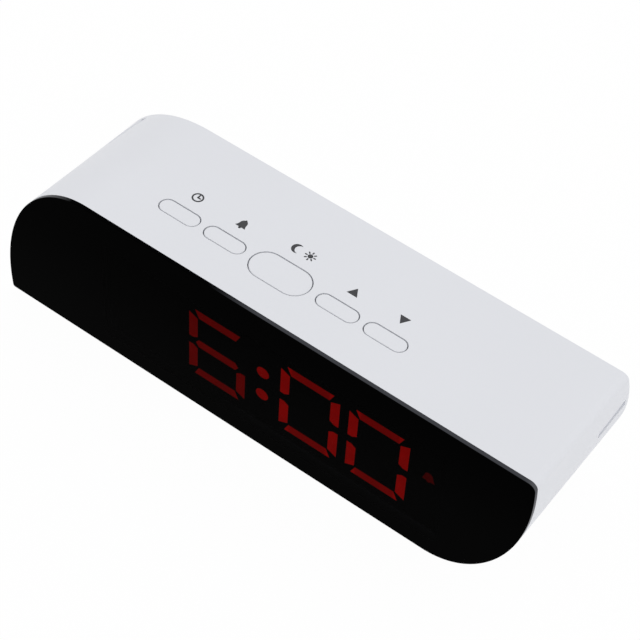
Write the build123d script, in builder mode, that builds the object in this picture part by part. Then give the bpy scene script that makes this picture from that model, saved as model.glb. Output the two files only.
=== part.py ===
"""Digital LED desk clock: a wedge-shaped case with a leaf outline, a dark front lens and five flush keys.

Millimetres. The clock stands on its feet at Z = 0 and faces -Y, with the origin under its middle.
"""
import os
from math import asin, atan2, cos, degrees, radians, sin, sqrt, tan

from build123d import *

# Case
case_width = 171.6  # at the front's top edge
rear_draw_in = 0.9  # of each side, from there to the rear
case_height = 52.0  # front edge above the underside
rear_height = 45.4  # rear edge above the underside
case_depth = 49.5  # along the underside
face_lean = 4.5  # degrees, the face leans back
big_corner_x = 29.0  # upper left and lower right corners, an ellipse's half axes at the front's top edge
big_corner_z = 44.2
rear_corner_x = 33.8  # the same at the rear
rear_corner_z = 35.9
top_corner = 2.3  # upper right
bottom_corner = 0.8  # lower left
wall = 2.0
inner_corner = 0.5
fit_gap = 0.15  # between pieces that fit into one another

# Front lens
lens_edge = 1.2  # the edge that shows in front of the case
lens_plug = 1.0  # the step that sits in the case's mouth
lens_round = 0.12

# Side grips, grooves at the rear of both sides
grip_top = 37.2  # above the underside
grip_width = 2.2
grip_length = 14.5
grip_sink = 0.9
grip_rear_gap = 1.5

# Feet
foot_diameter = 9.0
foot_height = 0.8  # below the underside
foot_sink = 0.8
foot_inset_x = 12.0
foot_corner_gap = 6.0  # from the big corner
foot_inset_y = 9.0

# Keys, in a row on the top
key_row = 15.7  # from the front edge, along the top
key_middle = -3.4
key_pitch = 18.3  # from the snooze key to its neighbours
key_outer_pitch = 15.1
key_length = 12.55
key_width = 4.7
snooze_length = 18.3
snooze_width = 9.75
key_gap = 0.3
key_travel = 0.8
key_round = 0.25
flange_lip = 0.8
flange_gap = 0.1
flange_thickness = 1.0
stem_diameter = 4.0
stem_length = 1.9

# Key switches and their board
switch_side = 6.0
switch_height = 3.5
plunger_diameter = 3.4
plunger_rise = 1.2
plunger_hold = 1.0
plunger_gap = 0.3
board_thickness = 1.2
key_board_width = 13.0
key_board_shift = 2.5  # behind the key row
key_board_margin = 16.0  # beyond the outer key centres
roof_boss_diameter = 5.5
roof_boss_inset = 4.6  # from the ends of the key board

# Display
digit_width = 19.0
digit_height = 26.6
digit_gap = 3.0  # between neighbours
colon_room = 8.65  # added to the pitch at the colon
digits_middle = 1.6
digits_rise = 21.8  # middle of the digits, up the face
stroke = 2.85
corner_cut = 2.0
segment_gap = 0.5
waist_cut = 1.5
segment_depth = 1.6
colon_diameter = 4.0
colon_spacing = 9.1
bell_dome = 1.25  # radius
bell_skirt = 1.9  # half width
bell_clapper = 0.55  # radius
bell_height = 3.2  # from the skirt's hem to the top of the dome
indicator_offset = 6.4  # from the last digit's right side
indicator_rise = 4.5  # above the middle of the digits
window_gap = 0.05
display_depth = 3.0  # from the face to the front of the digits
frame_thickness = 6.0
frame_margin_x = 3.0
frame_margin_y = 2.2
frame_end = 3.6  # beyond the indicator's middle
display_board_width = 132.0
display_board_low = 6.4
display_board_high = 38.4
display_post_gap = 3.7  # from the digit frame's end to the screws beside it
display_post_width = 7.0
display_post_depth = 6.0
display_screw_inset = 4.0  # from the board's edge, at the case's square corners
display_screw_pitch = 12.0
board_gap = 0.4  # from the boards to the case's walls
led_length = 2.0
led_width = 1.2
led_height = 0.8

# Parts on the back of the display board
chip_side = 10.0
chip_height = 1.6
chip_x = -14.0
crystal_length = 8.0
crystal_diameter = 3.0
crystal_x = -28.0
buzzer_diameter = 12.0
buzzer_height = 5.0
buzzer_hole = 2.0
buzzer_hole_depth = 2.5
buzzer_x = 26.0
parts_rise = 21.0  # up the face

# Cells and their box
cell_diameter = 10.5
cell_length = 44.5
cell_button = 3.8
cell_button_height = 0.8
cell_pitch = 11.2
cell_room = 0.5
contact_thickness = 0.4
contact_width = 8.0
contact_height = 6.0
spring_depth = 3.2
box_wall = 1.2
box_gap = 2.8  # from the boss at the upper left
cell_names = ("lower", "middle", "upper")

# Rear cover and battery door
cover_thickness = 2.5
door_thickness = 1.6
door_lip = 2.0
door_gap = 0.2
door_rib = 1.2
door_rib_depth = 2.0
door_corner = 1.5
notch_diameter = 10.0
notch_depth = 1.0
cover_boss = 7.0
cover_boss_length = 9.0
cover_screw_inset = 6.5
cover_screw_shift = 12.5  # towards the middle at the big corners
sound_hole = 1.6
sound_ring = 4.0
sound_count = 6
sound_offset = 26.4  # from the battery door's right end
sound_rise = 30.0

# Power board and socket
socket_rise = 13.0  # middle of the socket above the underside
socket_width = 7.8
socket_length = 5.6
socket_height = 2.9
socket_skin = 0.4
socket_tongue = 0.7
socket_tongue_inset = 1.2
socket_sink = 0.5  # behind the rear face
socket_gap = 0.4
power_board_length = 26.0
power_board_depth = 15.0
power_board_gap = 0.5
power_side_gap = 7.5  # from the boss at the lower right
power_post_diameter = 5.0
power_post_pitch = 18.0
power_post_y = 9.0  # in front of the power board's rear edge

# Flat cables and wires
ribbon_width = 8.0
ribbon_thickness = 0.4
ribbon_bend = 2.0
ribbon_stub = 5.0
key_ribbon_x = 5.0
key_ribbon_row = 5.0  # behind the key row
key_ribbon_rise = 28.0
display_ribbon_rise = 12.5
display_ribbon_y = 12.5  # in front of the power board's rear edge
display_ribbon_loop = 4.5
display_ribbon_shift = 6.0  # from the socket's middle, towards the battery box
wire_diameter = 1.2
wire_bend = 3.0
wire_pitch = 3.0
wire_rise = 6.0  # above the power board
wire_inset = 2.5  # from the power board's left end

# Screws
screw_diameter = 2.2
screw_gap = 0.05
screw_head = 4.2
screw_head_height = 1.3
screw_slot = 0.6
head_gap = 0.3
cover_screw_length = 8.0
display_screw_length = 6.0
board_screw_length = 5.5

# Planes and edges worked out from the case
reach = 2 * (case_width + case_depth)
lean = radians(face_lean)
front_y = -case_depth / 2
rear_y = case_depth / 2
under_z = foot_height
crest_y = front_y + case_height * tan(lean)
crest_z = under_z + case_height
rear_z = under_z + rear_height
rear_width = case_width - 2 * rear_draw_in
slope = atan2(crest_z - rear_z, rear_y - crest_y)
floor_z = under_z + wall
face = Plane(origin=(0, front_y, under_z), x_dir=(1, 0, 0), z_dir=(0, -cos(lean), sin(lean)))
roof = Plane(origin=(0, crest_y, crest_z), x_dir=(1, 0, 0), z_dir=(0, sin(slope), cos(slope)))
seam = face.offset(-lens_edge)
rear = Plane.XZ.offset(-rear_y)


def corner_drop(side_distance):
    """How far a big corner falls from its flat side at the rear, at this distance from the case's side."""
    inside = max(0.0, rear_corner_x - side_distance) / rear_corner_x
    return rear_corner_z * (1 - sqrt(1 - inside * inside))


def outline(y, inset):
    """The four edges of the case's outline at a depth, drawn in by inset.

    Each big corner's ellipse runs on past its widest point, to the small corner below or above it.
    """
    back = (y - crest_y) / (rear_y - crest_y)
    half = case_width / 2 - rear_draw_in * back - inset
    wide = big_corner_x + (rear_corner_x - big_corner_x) * back - inset
    tall = big_corner_z + (rear_corner_z - big_corner_z) * back - inset
    top_z = crest_z + (rear_z - crest_z) * back - inset / cos(slope)
    low_z = under_z + inset
    run_on = asin((top_z - low_z - tall) / tall)
    small_x = half - wide + wide * cos(run_on)
    turn = 90 + degrees(run_on)
    with BuildLine(Plane.XZ.offset(-y)):
        left = EllipticalCenterArc((wide - half, top_z - tall), wide, tall, 90, arc_size=turn)
        low = Line((-small_x, low_z), (half - wide, low_z))
        right = EllipticalCenterArc((half - wide, low_z + tall), wide, tall, 270, arc_size=turn)
        high = Line((small_x, top_z), (wide - half, top_z))
    return [left, low, right, high]


def wedge(inset, upper_corner, lower_corner):
    """The case's form, drawn in by inset and a little longer than the case, ruled between two outlines."""
    first = outline(front_y - wall, inset)
    last = outline(rear_y + wall, inset)
    skins = [Face(Wire(first)), Face(Wire(last))]
    for ahead, behind in zip(first, last):
        if ahead.geom_type == GeomType.LINE:
            skins.append(Face(Wire.make_polygon([ahead @ 0, ahead @ 1, behind @ 1, behind @ 0])))
        else:
            skins.append(Face.make_surface_from_curves(ahead, behind))
    with BuildPart() as body:
        add(Solid(Shell(skins)))
        long_edges = body.edges().filter_by_position(Axis.Y, -wall, wall)
        across = long_edges.sort_by(Axis((0, 0, 0), (1, 0, 1)))
        fillet(across[-1], radius=upper_corner)
        fillet(across[0], radius=lower_corner)
    return body.part


outer_form = wedge(0.0, top_corner, bottom_corner)
inner_form = wedge(wall, inner_corner, inner_corner)
board_form = wedge(wall + board_gap, inner_corner, inner_corner)
mouth_form = wedge(wall + fit_gap, inner_corner, inner_corner)
rooted_form = wedge(wall / 2, inner_corner, inner_corner)
grip_form = wedge(grip_sink, top_corner, bottom_corner)

# Depths below the roof, from the key tops down
flange_top = wall + flange_gap
flange_low = flange_top + flange_thickness
flange_room = key_gap + flange_lip + fit_gap  # around a key, for its flange
plunger_top = flange_low + stem_length
switch_top = plunger_top + plunger_rise
key_board_top = switch_top + switch_height
key_board_low = key_board_top + board_thickness

key_places = {
    "mode": (key_middle - key_pitch - key_outer_pitch, key_length, key_width),
    "alarm": (key_middle - key_pitch, key_length, key_width),
    "snooze": (key_middle, snooze_length, snooze_width),
    "up": (key_middle + key_pitch, key_length, key_width),
    "down": (key_middle + key_pitch + key_outer_pitch, key_length, key_width),
}
key_board_half = key_pitch + key_outer_pitch + key_board_margin
roof_boss_points = [(key_middle + side * (key_board_half - roof_boss_inset), key_row) for side in (-1, 1)]

# Depths behind the face
display_front = face.offset(-display_depth)
display_board_front = display_depth + frame_thickness
display_board_back = display_board_front + board_thickness
board_middle = (display_board_low + display_board_high) / 2

# Digits along the face
digit_pitch = digit_width + digit_gap
half_width = digit_width / 2
half_height = digit_height / 2
digit_first = digits_middle - 1.5 * digit_pitch - colon_room / 2
digit_places = {
    "ten_hour": digit_first,
    "hour": digit_first + digit_pitch,
    "ten_minute": digit_first + 2 * digit_pitch + colon_room,
    "minute": digit_first + 3 * digit_pitch + colon_room,
}
lit_segments = {"ten_hour": "", "hour": "acdefg", "ten_minute": "abcdef", "minute": "abcdef"}
colon_x = (digit_places["hour"] + digit_places["ten_minute"]) / 2
colon_points = [(colon_x, digits_rise + side * colon_spacing / 2) for side in (-1, 1)]
indicator_x = digit_places["minute"] + half_width + indicator_offset
indicator_point = (indicator_x, digits_rise + indicator_rise)
frame_left = digit_places["ten_hour"] - half_width - frame_margin_x
frame_right = indicator_x + frame_end
display_post_x = frame_right + display_post_gap
high_screw = display_board_high - display_screw_inset
low_screw = display_board_low + display_screw_inset
display_screw_points = [
    (-display_post_x, low_screw),
    (-display_post_x, low_screw + display_screw_pitch),
    (display_post_x, high_screw),
    (display_post_x, high_screw - display_screw_pitch),
]

# Rear cover, seen as X and Z
cover_front_y = rear_y - cover_thickness
side_x = rear_width / 2 - wall - cover_screw_inset
high_z = rear_z - wall - cover_screw_inset
low_z = floor_z + cover_screw_inset
shifted_x = side_x - cover_screw_shift
corner_fall = corner_drop(rear_width / 2 - shifted_x)
cover_screw_points = [
    (-side_x, low_z),
    (side_x, high_z),
    (-shifted_x, high_z - corner_fall),
    (shifted_x, low_z + corner_fall),
]

# Battery box
box_length = cell_length + spring_depth + contact_thickness
box_left = cover_boss / 2 + box_gap + box_wall - shifted_x
box_right = box_left + box_length
box_middle_x = (box_left + box_right) / 2
sound_x = box_right + door_lip + sound_offset
box_height = cell_pitch * len(cell_names)
box_middle_z = (under_z + rear_z) / 2
box_depth = cell_diameter + cell_room
box_front_y = rear_y - door_thickness - box_depth
cell_y = rear_y - door_thickness - box_depth / 2
cell_rises = [box_middle_z + (i - (len(cell_names) - 1) / 2) * cell_pitch for i in range(len(cell_names))]
spring_on_left = [i % 2 == 0 for i in range(len(cell_names))]

# Power board, level with the underside
socket_x = shifted_x - cover_boss / 2 - power_side_gap - power_board_length / 2
socket_z = under_z + socket_rise
power_board_top = socket_z - socket_height / 2
power_board_low = power_board_top - board_thickness
power_board_rear = cover_front_y - power_board_gap
power_board_y = power_board_rear - power_board_depth / 2
power_post_points = [
    (socket_x + side * power_post_pitch / 2, power_board_rear - power_post_y) for side in (-1, 1)
]

feet = {
    "foot_front_left": (-rear_width / 2 + foot_inset_x, front_y + foot_inset_y),
    "foot_front_right": (rear_width / 2 - rear_corner_x - foot_corner_gap, front_y + foot_inset_y),
    "foot_rear_left": (-rear_width / 2 + foot_inset_x, rear_y - foot_inset_y),
    "foot_rear_right": (rear_width / 2 - rear_corner_x - foot_corner_gap, rear_y - foot_inset_y),
}
pilot = screw_diameter / 2 + screw_gap

os.makedirs("parts", exist_ok=True)


def save(piece, name):
    """Label a finished piece and write it."""
    piece.label = name
    export_step(piece, f"parts/{name}.step")


# Posts and bosses inside the case, rooted in its walls
with BuildPart() as inner_posts:
    with BuildSketch(face.offset(-display_board_back)):
        with Locations(*[(side * display_post_x, case_height / 2) for side in (-1, 1)]):
            Rectangle(display_post_width, reach)
    extrude(amount=-display_post_depth)
    with BuildSketch(Plane.XZ.offset(-cover_front_y)):
        for x, z in cover_screw_points:
            towards_roof = 1 if z > box_middle_z else -1
            with Locations((x, z + towards_roof * cover_screw_inset / 2)):
                Rectangle(cover_boss, cover_boss + cover_screw_inset)
    extrude(amount=cover_boss_length)
    with BuildSketch(roof.offset(-key_board_top)):
        with Locations(*roof_boss_points):
            Circle(roof_boss_diameter / 2)
    extrude(amount=key_board_top)
    with BuildSketch(Plane.XY.offset(power_board_low)):
        with Locations(*power_post_points):
            Circle(power_post_diameter / 2)
    extrude(amount=-power_board_low)
    add(rooted_form, mode=Mode.INTERSECT)

# Grooves of the side grips, as deep as the grip's sink
with BuildPart() as grip_cut:
    with BuildSketch(Plane.XZ.offset(grip_length - rear_y)):
        with Locations((0, under_z + grip_top - grip_width / 2)):
            Rectangle(reach, grip_width)
    extrude(amount=grip_rear_gap - grip_length)
    add(grip_form, mode=Mode.SUBTRACT)

with BuildPart() as case_shell:
    add(outer_form)
    add(inner_form, mode=Mode.SUBTRACT)
    split(bisect_by=seam, keep=Keep.BOTTOM)
    split(bisect_by=rear, keep=Keep.TOP)
    add(inner_posts.part)
    with BuildSketch(roof):
        for x, length, width in key_places.values():
            with Locations((x, key_row)):
                SlotOverall(length + 2 * key_gap, width + 2 * key_gap)
    extrude(amount=-flange_top, mode=Mode.SUBTRACT)
    with BuildSketch(roof.offset(-wall)):
        for x, length, width in key_places.values():
            with Locations((x, key_row)):
                SlotOverall(length + 2 * flange_room, width + 2 * flange_room)
    extrude(amount=wall - flange_low - key_travel, mode=Mode.SUBTRACT)
    with BuildSketch(Plane.XY.offset(under_z)):
        with Locations(*feet.values()):
            Circle(foot_diameter / 2 + fit_gap)
    extrude(amount=foot_sink, mode=Mode.SUBTRACT)
    with BuildSketch(face.offset(-display_board_back)):
        with Locations(*display_screw_points):
            Circle(pilot)
    extrude(amount=-display_screw_length, mode=Mode.SUBTRACT)
    with BuildSketch(Plane.XZ.offset(-cover_front_y)):
        with Locations(*cover_screw_points):
            Circle(pilot)
    extrude(amount=cover_screw_length, mode=Mode.SUBTRACT)
    with BuildSketch(roof.offset(-key_board_top)):
        with Locations(*roof_boss_points):
            Circle(pilot)
    extrude(amount=board_screw_length, mode=Mode.SUBTRACT)
    with BuildSketch(Plane.XY.offset(power_board_low)):
        with Locations(*power_post_points):
            Circle(pilot)
    extrude(amount=-board_screw_length, mode=Mode.SUBTRACT)
    add(grip_cut.part, mode=Mode.SUBTRACT)
save(case_shell.part, "case_shell")

# Lens, with the step behind it that sits in the case's mouth
with BuildPart() as lens_step:
    add(mouth_form)
    split(bisect_by=seam, keep=Keep.BOTTOM)
    split(bisect_by=seam.offset(-lens_plug), keep=Keep.TOP)

with BuildPart() as front_lens:
    add(outer_form)
    split(bisect_by=face, keep=Keep.BOTTOM)
    split(bisect_by=seam, keep=Keep.TOP)
    front_edges = front_lens.faces().sort_by(Axis((0, 0, 0), face.z_dir))[-1].edges()
    fillet(front_edges, radius=lens_round)
    add(lens_step.part)
save(front_lens.part, "front_lens")

# Keys, with the switches below them
for name, (key_x, length, width) in key_places.items():
    with BuildPart() as key:
        with BuildSketch(roof):
            with Locations((key_x, key_row)):
                SlotOverall(length, width)
        extrude(amount=-flange_low)
        top_edges = key.faces().sort_by(Axis((0, 0, 0), roof.z_dir))[-1].edges()
        fillet(top_edges, radius=key_round)
        with BuildSketch(roof.offset(-flange_top)):
            with Locations((key_x, key_row)):
                SlotOverall(length + 2 * (key_gap + flange_lip), width + 2 * (key_gap + flange_lip))
        extrude(amount=-flange_thickness)
        with BuildSketch(roof.offset(-flange_low)):
            with Locations((key_x, key_row)):
                Circle(stem_diameter / 2)
        extrude(amount=-stem_length)
    save(key.part, f"{name}_key")

    with BuildPart() as plunger:
        with BuildSketch(roof.offset(-plunger_top)):
            with Locations((key_x, key_row)):
                Circle(plunger_diameter / 2)
        extrude(amount=-(plunger_rise + plunger_hold))
    save(plunger.part, f"{name}_plunger")

    with BuildPart() as switch:
        with BuildSketch(roof.offset(-switch_top)):
            with Locations((key_x, key_row)):
                Rectangle(switch_side, switch_side)
                Circle(plunger_diameter / 2 + plunger_gap, mode=Mode.SUBTRACT)
        extrude(amount=-(plunger_hold + key_travel + plunger_gap))
        with BuildSketch(roof.offset(-key_board_top)):
            with Locations((key_x, key_row)):
                Rectangle(switch_side, switch_side)
        extrude(amount=switch_height - plunger_hold - key_travel - plunger_gap)
    save(switch.part, f"{name}_switch")

with BuildPart() as key_board:
    with BuildSketch(roof.offset(-key_board_top)):
        with Locations((key_middle, key_row + key_board_shift)):
            Rectangle(2 * key_board_half, key_board_width)
        with Locations(*roof_boss_points):
            Circle(pilot, mode=Mode.SUBTRACT)
    extrude(amount=-board_thickness)
save(key_board.part, "key_board")


def screws(plane, points, length):
    """A screw at each point: the head stands on the plane and the shank goes behind it."""
    with BuildPart() as group:
        with BuildSketch(plane):
            with Locations(*points):
                Circle(screw_head / 2)
        extrude(amount=screw_head_height)
        with BuildSketch(plane.offset(screw_head_height)):
            with Locations(*points):
                Rectangle(screw_head, screw_slot)
        extrude(amount=-screw_slot, mode=Mode.SUBTRACT)
        with BuildSketch(plane):
            with Locations(*points):
                Circle(screw_diameter / 2)
        extrude(amount=-length)
    return group.part


def flipped(plane):
    """The same plane seen from its other side, with its sketch's second axis turned over."""
    return Plane(origin=plane.origin, x_dir=plane.x_dir, z_dir=-plane.z_dir)


under_key_board = flipped(roof.offset(-key_board_low))
save(screws(under_key_board, [(x, -y) for x, y in roof_boss_points], board_screw_length), "key_board_screws")

# Display: windows and segments of one digit, about its middle
bar_outer = half_width - corner_cut
bar_inner = half_width - stroke - segment_gap
side_high = half_height - corner_cut
side_low = half_height - stroke - segment_gap
waist_low = stroke / 2 + 2 * segment_gap
upper_bar = [
    (-bar_outer, half_height),
    (bar_outer, half_height),
    (bar_inner, half_height - stroke),
    (-bar_inner, half_height - stroke),
]
upper_side = [
    (half_width, side_high),
    (half_width, waist_cut),
    (half_width - stroke / 2, waist_cut),
    (half_width - stroke, waist_low),
    (half_width - stroke, side_low),
]
middle_bar = [
    (-bar_inner - segment_gap * 2, 0),
    (-bar_inner, stroke / 2),
    (bar_inner, stroke / 2),
    (bar_inner + segment_gap * 2, 0),
    (bar_inner, -stroke / 2),
    (-bar_inner, -stroke / 2),
]
segment_shapes = {
    "a": upper_bar,
    "b": upper_side,
    "c": [(x, -y) for x, y in upper_side],
    "d": [(x, -y) for x, y in upper_bar],
    "e": [(-x, -y) for x, y in upper_side],
    "f": [(-x, y) for x, y in upper_side],
    "g": middle_bar,
}
segment_middles = {
    "a": (0, half_height - stroke / 2),
    "b": (half_width - stroke / 2, half_height / 2),
    "c": (half_width - stroke / 2, -half_height / 2),
    "d": (0, stroke / 2 - half_height),
    "e": (stroke / 2 - half_width, -half_height / 2),
    "f": (stroke / 2 - half_width, half_height / 2),
    "g": (0, 0),
}


def bell(point):
    """Add a bell to the sketch: a dome on a flared skirt, with the clapper at its hem."""
    with Locations(point):
        dome_y = bell_height / 2 - bell_dome
        hem_y = -bell_height / 2
        skirt = [(-bell_dome, dome_y), (-bell_skirt, hem_y), (bell_skirt, hem_y), (bell_dome, dome_y)]
        Polygon(*skirt, align=None)
        with Locations((0, dome_y)):
            Circle(bell_dome)
        with Locations((0, hem_y)):
            Circle(bell_clapper)


def segment_group(chosen):
    """Solid segments in the digit frame's windows, for pairs of a digit and its segment letters."""
    with BuildPart() as group:
        with BuildSketch(display_front):
            for digit, letters in chosen:
                for letter in letters:
                    corners = segment_shapes[letter]
                    with Locations((digit_places[digit], digits_rise)):
                        Polygon(*corners, align=None)
        extrude(amount=-segment_depth)
    return group.part


for digit in ("hour", "ten_minute", "minute"):
    save(segment_group([(digit, lit_segments[digit])]), f"{digit}_segments")
dark = [(digit, "".join(s for s in segment_shapes if s not in lit)) for digit, lit in lit_segments.items()]
save(segment_group(dark), "unlit_segments")

with BuildPart() as colon_dots:
    with BuildSketch(display_front):
        with Locations(*colon_points):
            Circle(colon_diameter / 2)
    extrude(amount=-segment_depth)
save(colon_dots.part, "colon_dots")

with BuildPart() as alarm_indicator:
    with BuildSketch(display_front):
        bell(indicator_point)
    extrude(amount=-segment_depth)
save(alarm_indicator.part, "alarm_indicator")

with BuildPart() as digit_frame:
    with BuildSketch(display_front):
        with Locations(((frame_left + frame_right) / 2, digits_rise)):
            Rectangle(frame_right - frame_left, digit_height + 2 * frame_margin_y)
    extrude(amount=-frame_thickness)
    with BuildSketch(display_front):
        for digit_x in digit_places.values():
            for corners in segment_shapes.values():
                with Locations((digit_x, digits_rise)):
                    Polygon(*corners, align=None)
        with Locations(*colon_points):
            Circle(colon_diameter / 2)
        bell(indicator_point)
        offset(amount=window_gap)
    extrude(amount=-frame_thickness, mode=Mode.SUBTRACT)
    add(board_form, mode=Mode.INTERSECT)
save(digit_frame.part, "digit_frame")

with BuildPart() as display_board:
    with BuildSketch(face.offset(-display_board_front)):
        with Locations((0, board_middle)):
            Rectangle(display_board_width, display_board_high - display_board_low)
        with Locations(*display_screw_points):
            Circle(pilot, mode=Mode.SUBTRACT)
    extrude(amount=-board_thickness)
    add(board_form, mode=Mode.INTERSECT)
save(display_board.part, "display_board")
display_heads = face.offset(-display_board_front)
save(screws(display_heads, display_screw_points, display_screw_length), "display_screws")

led_points = [
    (digit_x + x, digits_rise + y)
    for digit_x in digit_places.values()
    for x, y in segment_middles.values()
] + colon_points + [indicator_point]
with BuildPart() as led_chips:
    with BuildSketch(face.offset(-display_board_front)):
        with Locations(*led_points):
            Rectangle(led_length, led_width)
    extrude(amount=led_height)
save(led_chips.part, "led_chips")

board_rear = face.offset(-display_board_back)
with BuildPart() as controller_chip:
    with BuildSketch(board_rear):
        with Locations((chip_x, parts_rise)):
            Rectangle(chip_side, chip_side)
    extrude(amount=-chip_height)
save(controller_chip.part, "controller_chip")

with BuildPart() as clock_crystal:
    with BuildSketch(board_rear):
        with Locations((crystal_x, parts_rise)):
            SlotOverall(crystal_length, crystal_diameter, rotation=90)
    extrude(amount=-crystal_diameter)
save(clock_crystal.part, "clock_crystal")

with BuildPart() as buzzer:
    with BuildSketch(board_rear):
        with Locations((buzzer_x, parts_rise)):
            Circle(buzzer_diameter / 2)
    extrude(amount=-buzzer_height)
    with BuildSketch(board_rear.offset(-buzzer_height)):
        with Locations((buzzer_x, parts_rise)):
            Circle(buzzer_hole / 2)
    extrude(amount=buzzer_hole_depth, mode=Mode.SUBTRACT)
save(buzzer.part, "buzzer")

# Rear cover with the battery box
with BuildPart() as cover_plate:
    add(mouth_form)
    split(bisect_by=rear, keep=Keep.TOP)
    split(bisect_by=Plane.XZ.offset(-cover_front_y), keep=Keep.BOTTOM)
with BuildPart() as rear_cover:
    add(cover_plate.part)
    with BuildSketch(Plane.XZ.offset(-cover_front_y)):
        with Locations((box_middle_x, box_middle_z)):
            Rectangle(box_length + 2 * box_wall, box_height + 2 * box_wall)
    extrude(amount=cover_front_y - box_front_y + box_wall)
    with BuildSketch(rear):
        with Locations((box_middle_x, box_middle_z)):
            Rectangle(box_length, box_height)
    extrude(amount=rear_y - box_front_y, mode=Mode.SUBTRACT)
    with BuildSketch(rear):
        with Locations((box_middle_x, box_middle_z)):
            door_outline = (box_length + 2 * (door_lip + door_gap), box_height + 2 * (door_lip + door_gap))
            RectangleRounded(*door_outline, door_corner + door_gap)
    extrude(amount=door_thickness, mode=Mode.SUBTRACT)
    with BuildSketch(rear):
        with Locations((box_right + door_lip, box_middle_z)):
            Circle(notch_diameter / 2)
    extrude(amount=notch_depth, mode=Mode.SUBTRACT)
    with BuildSketch(rear):
        with Locations((socket_x, socket_z)):
            RectangleRounded(socket_width + 2 * socket_gap, socket_height + 2 * socket_gap, socket_gap)
        with Locations((sound_x, under_z + sound_rise)):
            Circle(sound_hole / 2)
            with PolarLocations(sound_ring, sound_count):
                Circle(sound_hole / 2)
        with Locations(*cover_screw_points):
            Circle(pilot)
    extrude(amount=cover_thickness, mode=Mode.SUBTRACT)
    with BuildSketch(rear):
        with Locations(*cover_screw_points):
            Circle(screw_head / 2 + head_gap)
    extrude(amount=screw_head_height, mode=Mode.SUBTRACT)
save(rear_cover.part, "rear_cover")

cover_heads = flipped(Plane.XZ.offset(screw_head_height - rear_y))
save(screws(cover_heads, [(x, -z) for x, z in cover_screw_points], cover_screw_length), "cover_screws")

with BuildPart() as battery_door:
    with BuildSketch(rear):
        with Locations((box_middle_x, box_middle_z)):
            RectangleRounded(box_length + 2 * door_lip, box_height + 2 * door_lip, door_corner)
    extrude(amount=door_thickness)
    rib_z = box_height / 2 - door_gap - door_rib / 2
    with BuildSketch(rear.offset(door_thickness)):
        with Locations(*[(box_middle_x, box_middle_z + side * rib_z) for side in (-1, 1)]):
            Rectangle(box_length - 2 * door_lip, door_rib)
    extrude(amount=door_rib_depth)
    with BuildSketch(rear):
        with Locations((box_right + door_lip, box_middle_z)):
            Circle(notch_diameter / 2)
    extrude(amount=notch_depth, mode=Mode.SUBTRACT)
save(battery_door.part, "battery_door")

# Cells turned end for end in turn, with a bowed spring at one end and a plate at the other
for name, rise, spring_left in zip(cell_names, cell_rises, spring_on_left):
    cell_start = box_left + spring_depth if spring_left else box_right - spring_depth
    away = 1 if spring_left else -1
    can_length = cell_length - cell_button_height
    with BuildPart() as cell:
        with BuildSketch(Plane.YZ.offset(cell_start)):
            with Locations((cell_y, rise)):
                Circle(cell_diameter / 2)
        extrude(amount=away * can_length)
        with BuildSketch(Plane.YZ.offset(cell_start + away * can_length)):
            with Locations((cell_y, rise)):
                Circle(cell_button / 2)
        extrude(amount=away * cell_button_height)
    save(cell.part, f"{name}_cell")

with BuildPart() as cell_springs:
    for rise, spring_left in zip(cell_rises, spring_on_left):
        wall_x = box_left if spring_left else box_right
        away = 1 if spring_left else -1
        bow = away * spring_depth
        skin = away * contact_thickness
        with BuildSketch(Plane.XY.offset(rise - contact_height / 2)):
            with BuildLine():
                low = (wall_x, cell_y - contact_width / 2)
                high = (wall_x, cell_y + contact_width / 2)
                inner_low = (wall_x, cell_y - contact_width / 2 + contact_thickness)
                inner_high = (wall_x, cell_y + contact_width / 2 - contact_thickness)
                ThreePointArc(low, (wall_x + bow, cell_y), high)
                Line(high, inner_high)
                ThreePointArc(inner_high, (wall_x + bow - skin, cell_y), inner_low)
                Line(inner_low, low)
            make_face()
        extrude(amount=contact_height)
save(cell_springs.part, "cell_springs")

with BuildPart() as cell_plates:
    for rise, spring_left in zip(cell_rises, spring_on_left):
        wall_x = box_right if spring_left else box_left
        away = -1 if spring_left else 1
        with BuildSketch(Plane.YZ.offset(wall_x)):
            with Locations((cell_y, rise)):
                Rectangle(contact_width, contact_height)
        extrude(amount=away * contact_thickness)
save(cell_plates.part, "cell_plates")

# Power board and socket
with BuildPart() as power_board:
    with BuildSketch(Plane.XY.offset(power_board_low)):
        with Locations((socket_x, power_board_y)):
            Rectangle(power_board_length, power_board_depth)
        with Locations(*power_post_points):
            Circle(pilot, mode=Mode.SUBTRACT)
    extrude(amount=board_thickness)
save(power_board.part, "power_board")
save(screws(Plane.XY.offset(power_board_top), power_post_points, board_screw_length), "power_board_screws")

with BuildPart() as power_socket:
    mouth = Plane.XZ.offset(socket_sink - rear_y)
    with BuildSketch(mouth):
        with Locations((socket_x, socket_z)):
            Rectangle(socket_width, socket_height)
    extrude(amount=socket_length)
    with BuildSketch(mouth):
        with Locations((socket_x, socket_z)):
            Rectangle(socket_width - 2 * socket_skin, socket_height - 2 * socket_skin)
            Rectangle(socket_width - 2 * socket_tongue_inset, socket_tongue, mode=Mode.SUBTRACT)
    extrude(amount=socket_length - socket_skin, mode=Mode.SUBTRACT)
save(power_socket.part, "power_socket")


def flat_cable(points, x):
    """A flat cable of the ribbon's width along points given as Y and Z."""
    with BuildPart() as cable:
        with BuildLine() as route:
            FilletPolyline(*[(x, y, z) for y, z in points], radius=ribbon_bend)
        start = Plane(origin=route.line @ 0, x_dir=(1, 0, 0), z_dir=route.line % 0)
        with BuildSketch(start):
            Rectangle(ribbon_width, ribbon_thickness)
        sweep(path=route.line)
    return cable.part


def on_plane(plane, distance, depth):
    """The Y and Z of a point this far along a plane's second axis and this far behind it."""
    point = plane.origin + plane.y_dir * distance - plane.z_dir * depth
    return (point.Y, point.Z)


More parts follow.
